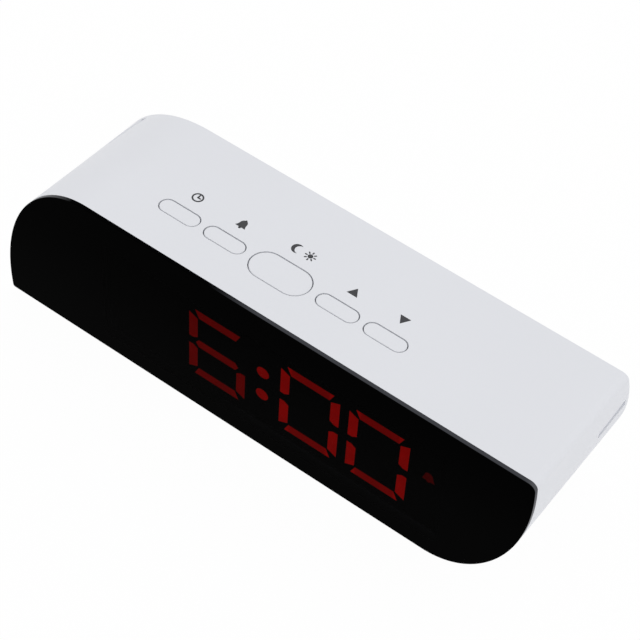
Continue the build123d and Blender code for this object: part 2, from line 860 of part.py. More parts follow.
key_route = [
    on_plane(roof, key_row + key_ribbon_row, key_board_low),
    on_plane(roof, key_row + key_ribbon_row, key_board_low + ribbon_stub),
    on_plane(face, key_ribbon_rise, display_board_back + ribbon_stub),
    on_plane(face, key_ribbon_rise, display_board_back),
]
save(flat_cable(key_route, key_ribbon_x), "key_ribbon")

display_ribbon_end = power_board_rear - display_ribbon_y
display_route = [
    on_plane(face, display_ribbon_rise, display_board_back),
    on_plane(face, display_ribbon_rise, display_board_back + ribbon_stub),
    (display_ribbon_end, power_board_top + display_ribbon_loop),
    (display_ribbon_end, power_board_top),
]
save(flat_cable(display_route, socket_x - display_ribbon_shift), "display_ribbon")

lead_end_x = socket_x - power_board_length / 2 + wire_inset
with BuildPart() as battery_leads:
    for side in (-1, 1):
        lead_y = cell_y + side * wire_pitch / 2
        lead_z = power_board_top + wire_rise
        with BuildLine() as lead:
            FilletPolyline(
                (box_right + box_wall, lead_y, lead_z),
                (lead_end_x, lead_y, lead_z),
                (lead_end_x, lead_y, power_board_top),
                radius=wire_bend,
            )
        with BuildSketch(Plane(origin=lead.line @ 0, z_dir=lead.line % 0)):
            Circle(wire_diameter / 2)
        sweep(path=lead.line)
save(battery_leads.part, "battery_leads")

# Rubber feet in the underside's pockets
for name, (foot_x, foot_y) in feet.items():
    with BuildPart() as foot:
        with BuildSketch(Plane.XY):
            with Locations((foot_x, foot_y)):
                Circle(foot_diameter / 2)
        extrude(amount=foot_height + foot_sink)
    save(foot.part, name)
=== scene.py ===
"""Digital LED desk clock: finishes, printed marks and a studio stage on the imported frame.

Metres, in the frame of the CAD model: Z up, the face towards -Y, the feet on Z = 0.
"""

import bmesh
import bpy
import numpy as np
from mathutils import Matrix, Vector


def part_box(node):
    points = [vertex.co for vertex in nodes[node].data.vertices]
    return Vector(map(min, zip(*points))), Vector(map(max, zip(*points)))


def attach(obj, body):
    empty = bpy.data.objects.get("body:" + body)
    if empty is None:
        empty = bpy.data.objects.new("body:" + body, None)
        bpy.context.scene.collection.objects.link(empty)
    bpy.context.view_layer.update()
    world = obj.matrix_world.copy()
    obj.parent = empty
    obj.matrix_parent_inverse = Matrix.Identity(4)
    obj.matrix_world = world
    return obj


bl_info = {
    "name": "Digital LED desk clock",
    "version": (1, 0, 0),
    "blender": (4, 5, 0),
    "location": "View3D > Sidebar > Clock",
    "description": "Finishes, printed marks and a studio stage for a digital LED desk clock",
    "category": "Object",
}

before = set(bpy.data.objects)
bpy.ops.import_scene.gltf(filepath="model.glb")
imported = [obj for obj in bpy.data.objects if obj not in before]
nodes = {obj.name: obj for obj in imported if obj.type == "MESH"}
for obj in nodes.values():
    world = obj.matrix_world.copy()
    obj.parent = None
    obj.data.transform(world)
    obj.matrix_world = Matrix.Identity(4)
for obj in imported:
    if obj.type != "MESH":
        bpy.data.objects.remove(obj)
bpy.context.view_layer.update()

KEYS = ("mode", "alarm", "snooze", "up", "down")
CELLS = ("lower", "middle", "upper")
LIT = {  # shares of full light: at a piece's upright segments, and at its level ones
    "hour_segments": (0.35, 0.34),
    "ten_minute_segments": (0.70, 0.49),
    "minute_segments": (0.70, 0.47),
    "colon_dots": (0.62, 0.62),
    "alarm_indicator": (0.15, 0.15),
}
NOISE = (0.3, 0.7)  # nearly all values of a noise lie between these
BELL_HANG = 0.42  # share of a bell that hangs below its middle
BELL_RISE = 0.82  # height of a bell as a share of its mark's height
MEET = 1e-7  # points of a grid that are nearer than this are one


# Settings

def linear(*levels):
    """A colour written as 0 to 255 screen levels, turned into linear light by the sRGB curve."""
    c = np.array(levels, float) / 255
    return tuple(float(v) for v in np.where(c <= 0.04045, c / 12.92, ((c + 0.055) / 1.055) ** 2.4))


def colour(name, description, default):
    """A colour property."""
    return bpy.props.FloatVectorProperty(
        name=name, description=description, default=default, subtype="COLOR", size=3, min=0.0, max=1.0)


def length(name, description, default):
    """A length property in metres."""
    return bpy.props.FloatProperty(
        name=name, description=description, default=default, subtype="DISTANCE", unit="LENGTH", precision=5)


def share(name, description, default):
    """A property between none and all."""
    return bpy.props.FloatProperty(
        name=name, description=description, default=default, subtype="FACTOR", min=0.0, max=1.0)


def number(name, description, default, least=0.0):
    """A plain property with a least value."""
    return bpy.props.FloatProperty(name=name, description=description, default=default, min=least)


def angle(name, description, degrees):
    """An angle property, given in degrees."""
    return bpy.props.FloatProperty(
        name=name, description=description, default=np.radians(degrees), subtype="ANGLE")


def watts(name, description, default):
    """A property for the power of a light."""
    return bpy.props.FloatProperty(
        name=name, description=description, default=default, subtype="POWER", unit="POWER")


def point(name, description, default):
    """A property for a point of the frame."""
    return bpy.props.FloatVectorProperty(
        name=name, description=description, default=default, subtype="TRANSLATION", size=3)


class ClockFinish(bpy.types.PropertyGroup):
    """Colours, grain and light of the clock's materials."""

    case: colour("Case", "White plastic of the case, keys, rear cover and door", linear(222, 223.5, 228.5))
    case_grain: length("Case grain", "Size of the fine texture of the mould", 0.00028)
    lens: colour("Lens", "Dark tinted front panel", linear(2.5, 2.5, 2.5))
    # The two cut-edge colours below are painted reflection: grey along the top of the panel's edge, pale
    # round its sides.
    lens_edge_reflection: colour("Lens edge", "Cut edge of the front panel along the top", linear(62, 63, 67))
    lens_side_reflection: colour("Lens side", "Cut edge of the front panel round the sides", linear(150, 151, 154))
    lens_cover: share("Lens cover", "How much of the display the tint covers", 0.96)
    lit: colour("Lit segments", "Light of the display", (1.0, 0.004, 0.002))
    glow: number("Glow", "Strength of the display's light", 4.9)
    uneven: share("Uneven light", "How much the light varies within a segment", 0.12)
    unlit: colour("Unlit segments", "Diffuser of a segment that is off", linear(28, 17, 17))
    black: colour("Black plastic", "Digit frame, chip, buzzer and switches", linear(24, 24, 25))
    grey: colour("Grey plastic", "Plungers of the key switches", linear(128, 128, 131))
    board: colour("Boards", "Resin coat of the circuit boards", linear(22, 92, 54))
    track: colour("Tracks", "Copper tracks under the resin coat", linear(58, 128, 78))
    pad: colour("Pads", "Tinned pads of the boards", linear(196, 190, 172))
    steel: colour("Steel", "Plated screws, springs, plates, socket and crystal", linear(196, 196, 198))
    sleeve: colour("Cell sleeve", "Sleeve of the cells", linear(48, 52, 60))
    band: colour("Cell band", "Band at the button end of the cells", linear(190, 132, 72))
    ribbon: colour("Flat cables", "Flexible flat cables", linear(198, 198, 202))
    lead: colour("Plus lead", "Sleeve of the lead from the button end", linear(186, 40, 34))
    rubber: colour("Feet", "Rubber of the feet", linear(70, 70, 72))
    ink: colour("Print", "Ink of the marks behind the keys", linear(46, 47, 51))


class ClockMarks(bpy.types.PropertyGroup):
    """Sizes and places of the printed marks, of the door's ribs and of the dust cloth."""

    height: length("Mark height", "Height of a printed mark", 0.0034)
    back: length("Mark place", "From the middle of a small key back to its mark", 0.0076)
    snooze_back: length("Snooze mark place", "From the middle of the snooze key back to its marks", 0.0101)
    line: length("Line width", "Width of a printed line", 0.00046)
    ink: length("Ink thickness", "How far the ink stands on the plastic", 0.00003)
    rib_count: bpy.props.IntProperty(
        name="Ribs", description="Number of ribs on the door", default=5, min=1)
    rib_inset: length("Rib inset", "From the door's end beside the notch to the first rib", 0.0095)
    rib_pitch: length("Rib pitch", "From one rib of the door to the next", 0.0018)
    rib_width: length("Rib width", "Width of a rib of the door", 0.0009)
    rib_rise: length("Rib height", "Height of a rib of the door", 0.00035)
    rib_length: length("Rib length", "Length of a rib of the door", 0.0120)
    rib_sink: length("Rib base", "How far a rib starts below the skin of the door", 0.00002)
    cloth_radius: length("Cloth radius", "Radius of the dust cloth behind the sound holes", 0.0064)
    cloth_depth: length("Cloth thickness", "Thickness of the dust cloth", 0.0004)
    cloth_thread: length("Cloth thread", "From one thread of the dust cloth to the next", 0.0004)
    cloth_aside: length("Cloth place", "From the door's end to the middle of the dust cloth", 0.0264)
    cloth_inset: length("Cloth inset", "From the rear cover's skin in to the dust cloth", 0.0025)
    cloth_height: length("Cloth height", "From the case's underside up to the middle of the cloth", 0.0300)


class ClockStage(bpy.types.PropertyGroup):
    """The camera, the light and the floor."""

    azimuth: angle("Azimuth", "Camera's turn about the clock", 37.08)
    elevation: angle("Elevation", "Camera's height angle", 53.76)
    distance: length("Distance", "From the aim to the camera", 0.56243)
    lens: number("Lens", "Focal length in millimetres on a 36 mm sensor", 118.61, least=1.0)
    aim: point("Aim", "Point that the camera turns about", (0.0, 0.00101, 0.026785))
    aside: length("Aside", "Camera's shift to its right", 0.00377)
    above: length("Above", "Camera's shift upwards", -0.00018)
    sky: number("Sky", "Strength of the even light from all round", 0.855)
    key: watts("Key", "Power of the soft light overhead", 1.24)
    key_place: point("Key place", "Where the light overhead hangs", (-0.1, 0.3, 0.95))
    fill: watts("Fill", "Power of the soft light at the right", 0.95)
    fill_place: point("Fill place", "Where the light at the right stands", (1.0, -0.25, 0.35))
    lamp_size: length("Light size", "Width of both soft lights", 0.6)
    lamp_aim: point("Light aim", "Point that both soft lights look at", (0.0, 0.0, 0.02))
    floor: length("Floor", "Width of the floor", 6.0)
    floor_white: share("Floor white", "Share of plain white in the floor, the rest takes the shadow", 0.97)


# Node trees

def add(tree, kind, values=None, **settings):
    """A new node with its settings, and its inputs set or linked by name or number."""
    made = tree.nodes.new(kind)
    for name, value in settings.items():
        setattr(made, name, value)
    for key, value in (values or {}).items():
        put(tree, made.inputs[key], value)
    return made


def put(tree, socket, value):
    """Links an output to a socket, or sets the socket's own value."""
    if isinstance(value, bpy.types.NodeSocket):
        tree.links.new(value, socket)
    elif hasattr(value, "__len__") and socket.type == "RGBA" and len(value) == 3:
        socket.default_value = (*value, 1.0)
    else:
        socket.default_value = value


def tone(base, level):
    """A colour made lighter or darker."""
    return tuple(min(1.0, c * level) for c in base)


def mixed(tree, factor, first, second):
    """The colour between two colours."""
    return add(tree, "ShaderNodeMix", {0: factor, 6: first, 7: second}, data_type="RGBA").outputs[2]


def toned(tree, factor, base, first, second):
    """The colour between two tones of one colour."""
    return mixed(tree, factor, tone(base, first), tone(base, second))


def ramp(tree, value, start, end, low=0.0, high=1.0, smooth=True):
    """A value carried from one range to another and held at its ends."""
    kind = "SMOOTHSTEP" if smooth else "LINEAR"
    return add(tree, "ShaderNodeMapRange", {0: value, 1: start, 2: end, 3: low, 4: high},
               interpolation_type=kind).outputs[0]


def sums(tree, operation, first, second=0.0):
    """The result of one arithmetic step on one or two values."""
    return add(tree, "ShaderNodeMath", {0: first, 1: second}, operation=operation).outputs[0]


def noise(tree, vector, scale, detail):
    """Noise about one half, with so many features to the unit of its vector."""
    return add(tree, "ShaderNodeTexNoise", {"Vector": vector, "Scale": scale, "Detail": detail}).outputs[0]


def spot(tree):
    """The Object coordinates of a material."""
    found = tree.nodes.get("Spot") or add(tree, "ShaderNodeTexCoord", name="Spot")
    return found.outputs["Object"]


def axes(tree):
    """The Object coordinates' X, Y and Z."""
    return add(tree, "ShaderNodeSeparateXYZ", {0: spot(tree)}).outputs


def along(tree, direction):
    """How far the Object coordinates lie along a direction."""
    return add(tree, "ShaderNodeVectorMath", {0: spot(tree), 1: direction},
               operation="DOT_PRODUCT").outputs["Value"]


# Shared effects

def effect(name, inputs, outputs):
    """A node group with a vector and named values in, and named values out; returned with its end nodes."""
    tree = bpy.data.node_groups.new(name, "ShaderNodeTree")
    tree.interface.new_socket("Vector", in_out="INPUT", socket_type="NodeSocketVector")
    for label, default in inputs.items():
        kind = "NodeSocketVector" if isinstance(default, tuple) else "NodeSocketFloat"
        tree.interface.new_socket(label, in_out="INPUT", socket_type=kind).default_value = default
    for label in outputs:
        tree.interface.new_socket(label, in_out="OUTPUT", socket_type="NodeSocketFloat")
    return tree, tree.nodes.new("NodeGroupInput").outputs, tree.nodes.new("NodeGroupOutput").inputs


def grain_effect(name):
    """Moulded grain: fine height noise of one size, and a slow cloud of another."""
    tree, given, out = effect(name, {"Grain": 0.0003, "Cloud": 0.03}, ("Height", "Shade"))
    fine = sums(tree, "DIVIDE", 1.0, given["Grain"])
    slow = sums(tree, "DIVIDE", 1.0, given["Cloud"])
    put(tree, out["Height"], noise(tree, given["Vector"], fine, detail=3.0))
    put(tree, out["Shade"], ramp(tree, noise(tree, given["Vector"], slow, detail=2.0), *NOISE))
    return tree


def streak_effect(name):
    """Drawn metal: noise stretched along one axis, as height and as shade."""
    tree, given, out = effect(name, {"Stretch": (200.0, 9000.0, 9000.0)}, ("Height", "Shade"))
    scaled = add(tree, "ShaderNodeVectorMath", {0: given["Vector"], 1: given["Stretch"]},
                 operation="MULTIPLY")
    drawn = noise(tree, scaled.outputs[0], 1.0, detail=2.0)
    put(tree, out["Height"], drawn)
    put(tree, out["Shade"], ramp(tree, drawn, *NOISE))
    return tree


def track_effect(name):
    """Circuit tracks: square rings of lines about the middles of uneven cells, and a pad at each middle."""
    tree, given, out = effect(name, {"Pitch": 0.0012}, ("Tracks", "Pads"))
    cells_to_pitch, unevenness, lines_to_cell = 0.22, 0.55, 26.0
    line_limits, pad_limits = (0.1, 0.4), (0.16, 0.12)
    scale = sums(tree, "MULTIPLY", sums(tree, "DIVIDE", 1.0, given["Pitch"]), cells_to_pitch)
    cells = add(tree, "ShaderNodeTexVoronoi",
                {"Vector": given["Vector"], "Scale": scale, "Randomness": unevenness}, distance="CHEBYCHEV")
    reach = cells.outputs["Distance"]
    lines = sums(tree, "SINE", sums(tree, "MULTIPLY", reach, lines_to_cell))
    put(tree, out["Tracks"], ramp(tree, lines, *line_limits))
    put(tree, out["Pads"], ramp(tree, reach, *pad_limits))
    return tree


def segment_effect(name):
    """Light of a digit: more at its upright segments, less at its level ones, uneven within each."""
    tree, given, out = effect(name, {"Middle": 0.0, "Half width": 0.01}, ("Upright", "Glow"))
    upright_from, patches_to_metre = (0.60, 0.70), 260.0
    x = add(tree, "ShaderNodeSeparateXYZ", {0: given["Vector"]}).outputs[0]
    offset = sums(tree, "ABSOLUTE", sums(tree, "SUBTRACT", x, given["Middle"]))
    across = sums(tree, "DIVIDE", offset, given["Half width"])
    patches = noise(tree, given["Vector"], patches_to_metre, detail=1.0)
    put(tree, out["Upright"], ramp(tree, across, *upright_from))
    put(tree, out["Glow"], ramp(tree, patches, *NOISE))
    return tree


EFFECTS = {"Moulded grain": grain_effect, "Drawn metal": streak_effect, "Circuit tracks": track_effect,
           "Segment light": segment_effect}


def placed(tree, name, values):
    """A shared effect, made on its first use and placed in a material on Object coordinates."""
    made = tree.nodes.new("ShaderNodeGroup")
    made.node_tree = bpy.data.node_groups.get(name) or EFFECTS[name](name)
    put(tree, made.inputs["Vector"], spot(tree))
    for label, value in values.items():
        put(tree, made.inputs[label], value)
    return made.outputs


# Materials

def material(name):
    """A new material with its Principled shader."""
    made = bpy.data.materials.new(name)
    made.use_nodes = True
    tree = made.node_tree
    tree.nodes.clear()
    out = tree.nodes.new("ShaderNodeOutputMaterial")
    shader = tree.nodes.new("ShaderNodeBsdfPrincipled")
    tree.links.new(shader.outputs[0], out.inputs["Surface"])
    return made, tree, shader.inputs


def roughness(tree, shader, mask, bare, full):
    """A roughness that follows a mask, from one value where it is bare to another where it is full."""
    put(tree, shader["Roughness"], ramp(tree, mask, 0.0, 1.0, bare, full))


def relief(tree, shader, height, strength, distance):
    """A bump into the shader's normal."""
    bump = add(tree, "ShaderNodeBump", {"Height": height, "Strength": strength, "Distance": distance})
    put(tree, shader["Normal"], bump.outputs[0])


def moulded(name, base, grain, rough, depth=0.00002, spread=0.05, cloud=0.03, shine=0.5):
    """A moulded plastic or rubber: its colour and gloss drift a little, and fine grain breaks the shine."""
    drift = 0.05
    made, tree, shader = material(name)
    skin = placed(tree, "Moulded grain", {"Grain": grain, "Cloud": cloud})
    put(tree, shader["Base Color"], toned(tree, skin["Shade"], base, 1 - spread, 1 + spread))
    roughness(tree, shader, skin["Shade"], rough - drift, rough + drift)
    relief(tree, shader, skin["Height"], strength=0.35, distance=depth)
    shader["Specular IOR Level"].default_value = shine
    return made


def wear(names, made):
    """Gives a material to CAD nodes."""
    for name in names:
        mesh = nodes[name].data
        mesh.materials.clear()
        mesh.materials.append(made)


def words(node):
    """A node's name in words."""
    return node.replace("_", " ")


# Shapes of the CAD nodes

def largest_face(node, towards):
    """The normal and the offset of a node's largest flat face that looks one way."""
    least_cosine = 0.9
    mesh = nodes[node].data
    count = len(mesh.polygons)
    normals = np.zeros(count * 3)
    areas = np.zeros(count)
    centres = np.zeros(count * 3)
    mesh.polygons.foreach_get("normal", normals)
    mesh.polygons.foreach_get("area", areas)
    mesh.polygons.foreach_get("center", centres)
    normals = normals.reshape(-1, 3)
    best = np.argmax(np.where(normals @ np.array(towards) > least_cosine, areas, 0))
    return normals[best], float(normals[best] @ centres.reshape(-1, 3)[best])


def points_of(node):
    """A node's vertices as an array."""
    co = np.zeros(len(nodes[node].data.vertices) * 3, np.float32)
    nodes[node].data.vertices.foreach_get("co", co)
    return co.reshape(-1, 3).astype(float)


# Surfaces worked out with numpy

def grid_faces(rows, columns):
    """Corner numbers of a grid's cells, row by row."""
    i, j = np.meshgrid(np.arange(rows - 1), np.arange(columns - 1), indexing="ij")
    first = (i * columns + j).ravel()
    return np.stack([first, first + 1, first + columns + 1, first + columns], axis=1)


def disc(middle, inner, outer, steps=48):
    """A ring about a middle: radius from outer to inner, angle through one turn."""
    u, v = np.meshgrid(np.linspace(0, 2 * np.pi, steps + 1), np.linspace(outer, inner, 3), indexing="ij")
    return np.stack([middle[0] + v * np.cos(u), middle[1] + v * np.sin(u)], axis=-1)


def stroke(start, end, width, steps=12):
    """A line with round ends: each end's half turn at v half widths from the line between the ends."""
    start, end = np.array(start, float), np.array(end, float)
    turn = np.arctan2(*(end - start)[::-1])
    half = np.linspace(-np.pi / 2, np.pi / 2, steps)
    u = np.concatenate([turn + half, turn + np.pi + half, [turn - np.pi / 2]])
    line = np.concatenate([np.tile(end, (steps, 1)), np.tile(start, (steps, 1)), [end]])
    v = np.linspace(width / 2, 0, 3)[None, :, None]
    return line[:, None] + v * np.stack([np.cos(u), np.sin(u)], axis=-1)[:, None]


def bell_shape(height):
    """A bell: its half width is its waist plus a flare that falls with (1 - v)^4, closed from the shoulder
    up by a quarter of an ellipse that ends just short of nothing."""
    waist, flare, shoulder, dome = 0.31, 0.17, 0.55, 0.4505
    v, u = np.meshgrid(np.linspace(0, 1, 40), np.linspace(-1, 1, 9), indexing="ij")
    closing = np.sqrt(np.clip(1 - (np.clip(v - shoulder, 0, 1) / dome) ** 2, 0, 1))
    half = (waist + flare * (1 - v) ** 4) * closing * height
    return np.stack([u[:, ::-1] * half, (v - BELL_HANG) * height * BELL_RISE], axis=-1)


def crescent(middle, radius):
    """A moon: u runs between an outer arc and an arc about a shifted middle that meets it at both horns."""
    t, u = np.meshgrid(np.linspace(-1, 1, 48), np.linspace(0, 1, 5), indexing="ij")
    shift, open_angle = 0.52 * radius, np.radians(62)
    horn = radius * np.array([np.cos(open_angle), np.sin(open_angle)])
    inner = np.hypot(horn[0] - shift, horn[1])
    inner_angle = np.arctan2(horn[1], horn[0] - shift)
    outer_turn = np.pi + t * (np.pi - open_angle)
    inner_turn = np.pi + t * (np.pi - inner_angle)
    x = (1 - u) * radius * np.cos(outer_turn) + u * (shift + inner * np.cos(inner_turn))
    y = (1 - u) * radius * np.sin(outer_turn) + u * inner * np.sin(inner_turn)
    return np.stack([middle[0] + x, middle[1] + y], axis=-1)


def pointer(width, height):
    """A triangle: the half width falls evenly with v from the base to just short of the point."""
    tip = 0.99
    v, u = np.meshgrid(np.linspace(0, tip, 8), np.linspace(0.5, -0.5, 5), indexing="ij")
    return np.stack([u * width * (1 - v), (v - 0.5) * height], axis=-1)


def rib_shape(width, rise, span):
    """A rib: s runs along it and t once round it, half a round above the skin and a flat arc below. The
    square root of 1 - s^14 draws both to a point at the ends."""
    flatness = 0.15
    s, t = np.meshgrid(np.linspace(-1, 1, 41), np.linspace(2 * np.pi, 0, 25), indexing="ij")
    swell = np.sqrt(np.clip(1 - np.abs(s) ** 14, 0, 1))
    bulge = np.where(t <= np.pi, 1.0, flatness) * np.sin(t)
    return np.stack([-np.cos(t) * swell * width / 2, bulge * swell * rise, s * span / 2], axis=-1)


def round_sheet(radius, thickness):
    """A disc of cloth: a profile from the middle of one side out to the rim and back to the middle of the
    other side, carried through one turn."""
    reach = np.array([0.0, 0.5, 0.97, 1.0, 1.0, 0.97, 0.5, 0.0]) * radius
    depth = np.array([0.0, 0.0, 0.0, 0.15, 0.85, 1.0, 1.0, 1.0]) * thickness
    turn = np.linspace(2 * np.pi, 0, 65)[:, None]
    return np.stack([reach * np.cos(turn), 0 * turn - depth, reach * np.sin(turn)], axis=-1)


def facing(patch):
    """A patch of the plane with its cells turned to run anticlockwise."""
    a = patch[1:, :-1] - patch[:-1, :-1]
    b = patch[:-1, 1:] - patch[:-1, :-1]
    area = np.sum(b[..., 0] * a[..., 1] - b[..., 1] * a[..., 0])
    return patch if area > 0 else patch[:, ::-1]


def new_object(name, data):
    """A new object in the scene."""
    made = bpy.data.objects.new(name, data)
    bpy.context.scene.collection.objects.link(made)
    return made


def solid_piece(name, patches, body, made):
    """One mesh from grids of points, each closed where its points meet, on a body and in a slot."""
    vertices = np.concatenate([p.reshape(-1, 3) for p in patches])
    starts = np.cumsum([0] + [p.shape[0] * p.shape[1] for p in patches[:-1]])
    faces = np.concatenate([grid_faces(*p.shape[:2]) + start for p, start in zip(patches, starts)])
    mesh = bpy.data.meshes.new(name)
    mesh.from_pydata(vertices.tolist(), [], faces.tolist())
    shape = bmesh.new()
    shape.from_mesh(mesh)
    shape.verts.ensure_lookup_table()
    for grid in [shape.verts[a:b] for a, b in zip(starts, [*starts[1:], len(vertices)])]:
        bmesh.ops.remove_doubles(shape, verts=grid, dist=MEET)
    shape.to_mesh(mesh)
    shape.free()
    mesh.shade_smooth()
    mesh.materials.append(made)
    piece = new_object(name, mesh)
    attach(piece, body)
    return piece


# Makers

class CaseFinish(bpy.types.Operator):
    """Fine satin plastic on the case, the keys, the rear cover and the door, and rubber on the feet"""

    bl_idname = "clock.case_finish"
    bl_label = "Case finish"

    def execute(self, context):
        look = context.scene.clock_finish
        white = moulded("Satin white plastic", look.case, grain=look.case_grain, rough=0.46, depth=0.000012,
                        spread=0.006, cloud=0.05, shine=0.35)
        wear(["case_shell", "rear_cover", "battery_door"] + [f"{k}_key" for k in KEYS], white)
        rubber = moulded("Foot rubber", look.rubber, grain=0.0002, rough=0.8, depth=0.00004, spread=0.15,
                         cloud=0.003)
        wear([f"foot_{end}_{side}" for end in ("front", "rear") for side in ("left", "right")], rubber)
        return {"FINISHED"}


class LensFinish(bpy.types.Operator):
    """Dark tinted panel with a cut edge, clear enough over the display for its light to come through, with
    painted reflection on its front and its edge
    """

    bl_idname = "clock.lens_finish"
    bl_label = "Lens finish"

    def rim(self, tree, look, x, z):
        """Painted reflection on the cut edge: nearly black, then grey along the top, and pale round the
        left and down the right.
        """
        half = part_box("front_lens")[1].x
        black_to_grey = (-0.016, 0.002)  # X along the top
        left_pale = (-0.061, -0.082)  # X
        right_pale = (half * 0.955, half * 0.985)  # X at the top, and further in below it
        top, lean = 0.0526, 0.35
        down_pale = (0.0565, 0.026)  # Z
        grey = toned(tree, ramp(tree, x, *black_to_grey), look.lens_edge_reflection, 0.02, 1.0)
        drop = sums(tree, "SUBTRACT", top, z)
        reach = sums(tree, "ADD", x, sums(tree, "MULTIPLY", drop, lean))
        down = ramp(tree, z, *down_pale, smooth=False)
        right = sums(tree, "MULTIPLY", down, ramp(tree, reach, *right_pale))
        left = ramp(tree, x, *left_pale, smooth=False)
        return mixed(tree, sums(tree, "MAXIMUM", right, left), grey, look.lens_side_reflection)

    def window(self, tree, x, z):
        """A mask with soft borders over the digit frame, a little wider and higher than the frame is."""
        low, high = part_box("digit_frame")
        aside, above, soft = 0.003, 0.0055, 0.001
        left, right, top = low.x - aside, high.x + aside, high.z + above
        across = sums(tree, "MULTIPLY", ramp(tree, x, left, left + soft),
                      ramp(tree, x, right, right - soft))
        up = sums(tree, "MULTIPLY", ramp(tree, z, low.z, low.z + soft),
                  ramp(tree, z, top, top - soft))
        return sums(tree, "MULTIPLY", across, up)

    def execute(self, context):
        look = context.scene.clock_finish
        edge_depth = (0.00001, 0.00009)  # the front gives way to the cut edge between these
        downwards, painted_reflection_span = (-0.12, 0.0, 1.0), (0.050, 0.008)
        normal, offset = largest_face("front_lens", (0, -1, 0))
        made, tree, shader = material("Tinted lens")
        grain = placed(tree, "Moulded grain", {"Grain": 0.0006, "Cloud": 0.02})
        x, _, z = axes(tree)
        depth = sums(tree, "SUBTRACT", offset, along(tree, tuple(normal)))
        # Painted reflection and shade on the front: darker towards the top and left, lighter towards the
        # bottom and right.
        front = toned(tree, ramp(tree, along(tree, downwards), *painted_reflection_span), look.lens, 0.25, 1.3)
        # Painted reflection on the cut edge: grey along the top, pale round the left and down the right.
        rim = self.rim(tree, look, x, z)
        put(tree, shader["Base Color"], mixed(tree, ramp(tree, depth, *edge_depth), front, rim))
        roughness(tree, shader, grain["Shade"], 0.04, 0.07)
        shader["Specular IOR Level"].default_value = 0.002
        # Over the display the tint lets a share of the light through, and its back doesn't count.
        window = self.window(tree, x, z)
        cover = ramp(tree, window, 0.0, 1.0, 1.0, look.lens_cover, smooth=False)
        behind = add(tree, "ShaderNodeNewGeometry").outputs["Backfacing"]
        shown = sums(tree, "SUBTRACT", 1.0, sums(tree, "MULTIPLY", behind, window))
        put(tree, shader["Alpha"], sums(tree, "MULTIPLY", cover, shown))
        wear(["front_lens"], made)
        return {"FINISHED"}


class DisplayFinish(bpy.types.Operator):
    """Lit and unlit segments in their black frame"""

    bl_idname = "clock.display_finish"
    bl_label = "Display finish"

    def lit(self, look, node, upright, level):
        """A lit diffuser: its upright segments at one share of full light, its level ones at another."""
        low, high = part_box(node)
        made, tree, shader = material(f"Lit {words(node)}")
        light = placed(tree, "Segment light",
                       {"Middle": (low.x + high.x) / 2, "Half width": (high.x - low.x) / 2})
        glow = toned(tree, light["Upright"], look.lit, level, upright)
        dimming = sums(tree, "MULTIPLY", light["Glow"], look.uneven)
        put(tree, shader["Emission Color"], mixed(tree, dimming, glow, (0, 0, 0)))
        shader["Emission Strength"].default_value = look.glow
        shader["Base Color"].default_value = (*tone(look.lit, 0.08), 1.0)
        shader["Roughness"].default_value = 0.6
        wear([node], made)

    def execute(self, context):
        look = context.scene.clock_finish
        for node, (upright, level) in LIT.items():
            self.lit(look, node, upright, level)
        dull = {"rough": 0.7, "spread": 0.1, "shine": 0.05}
        wear(["unlit_segments"], moulded("Unlit diffuser", look.unlit, grain=0.0002, cloud=0.004, **dull))
        wear(["digit_frame"], moulded("Black frame plastic", look.black, grain=0.0003, cloud=0.01, **dull))
        return {"FINISHED"}


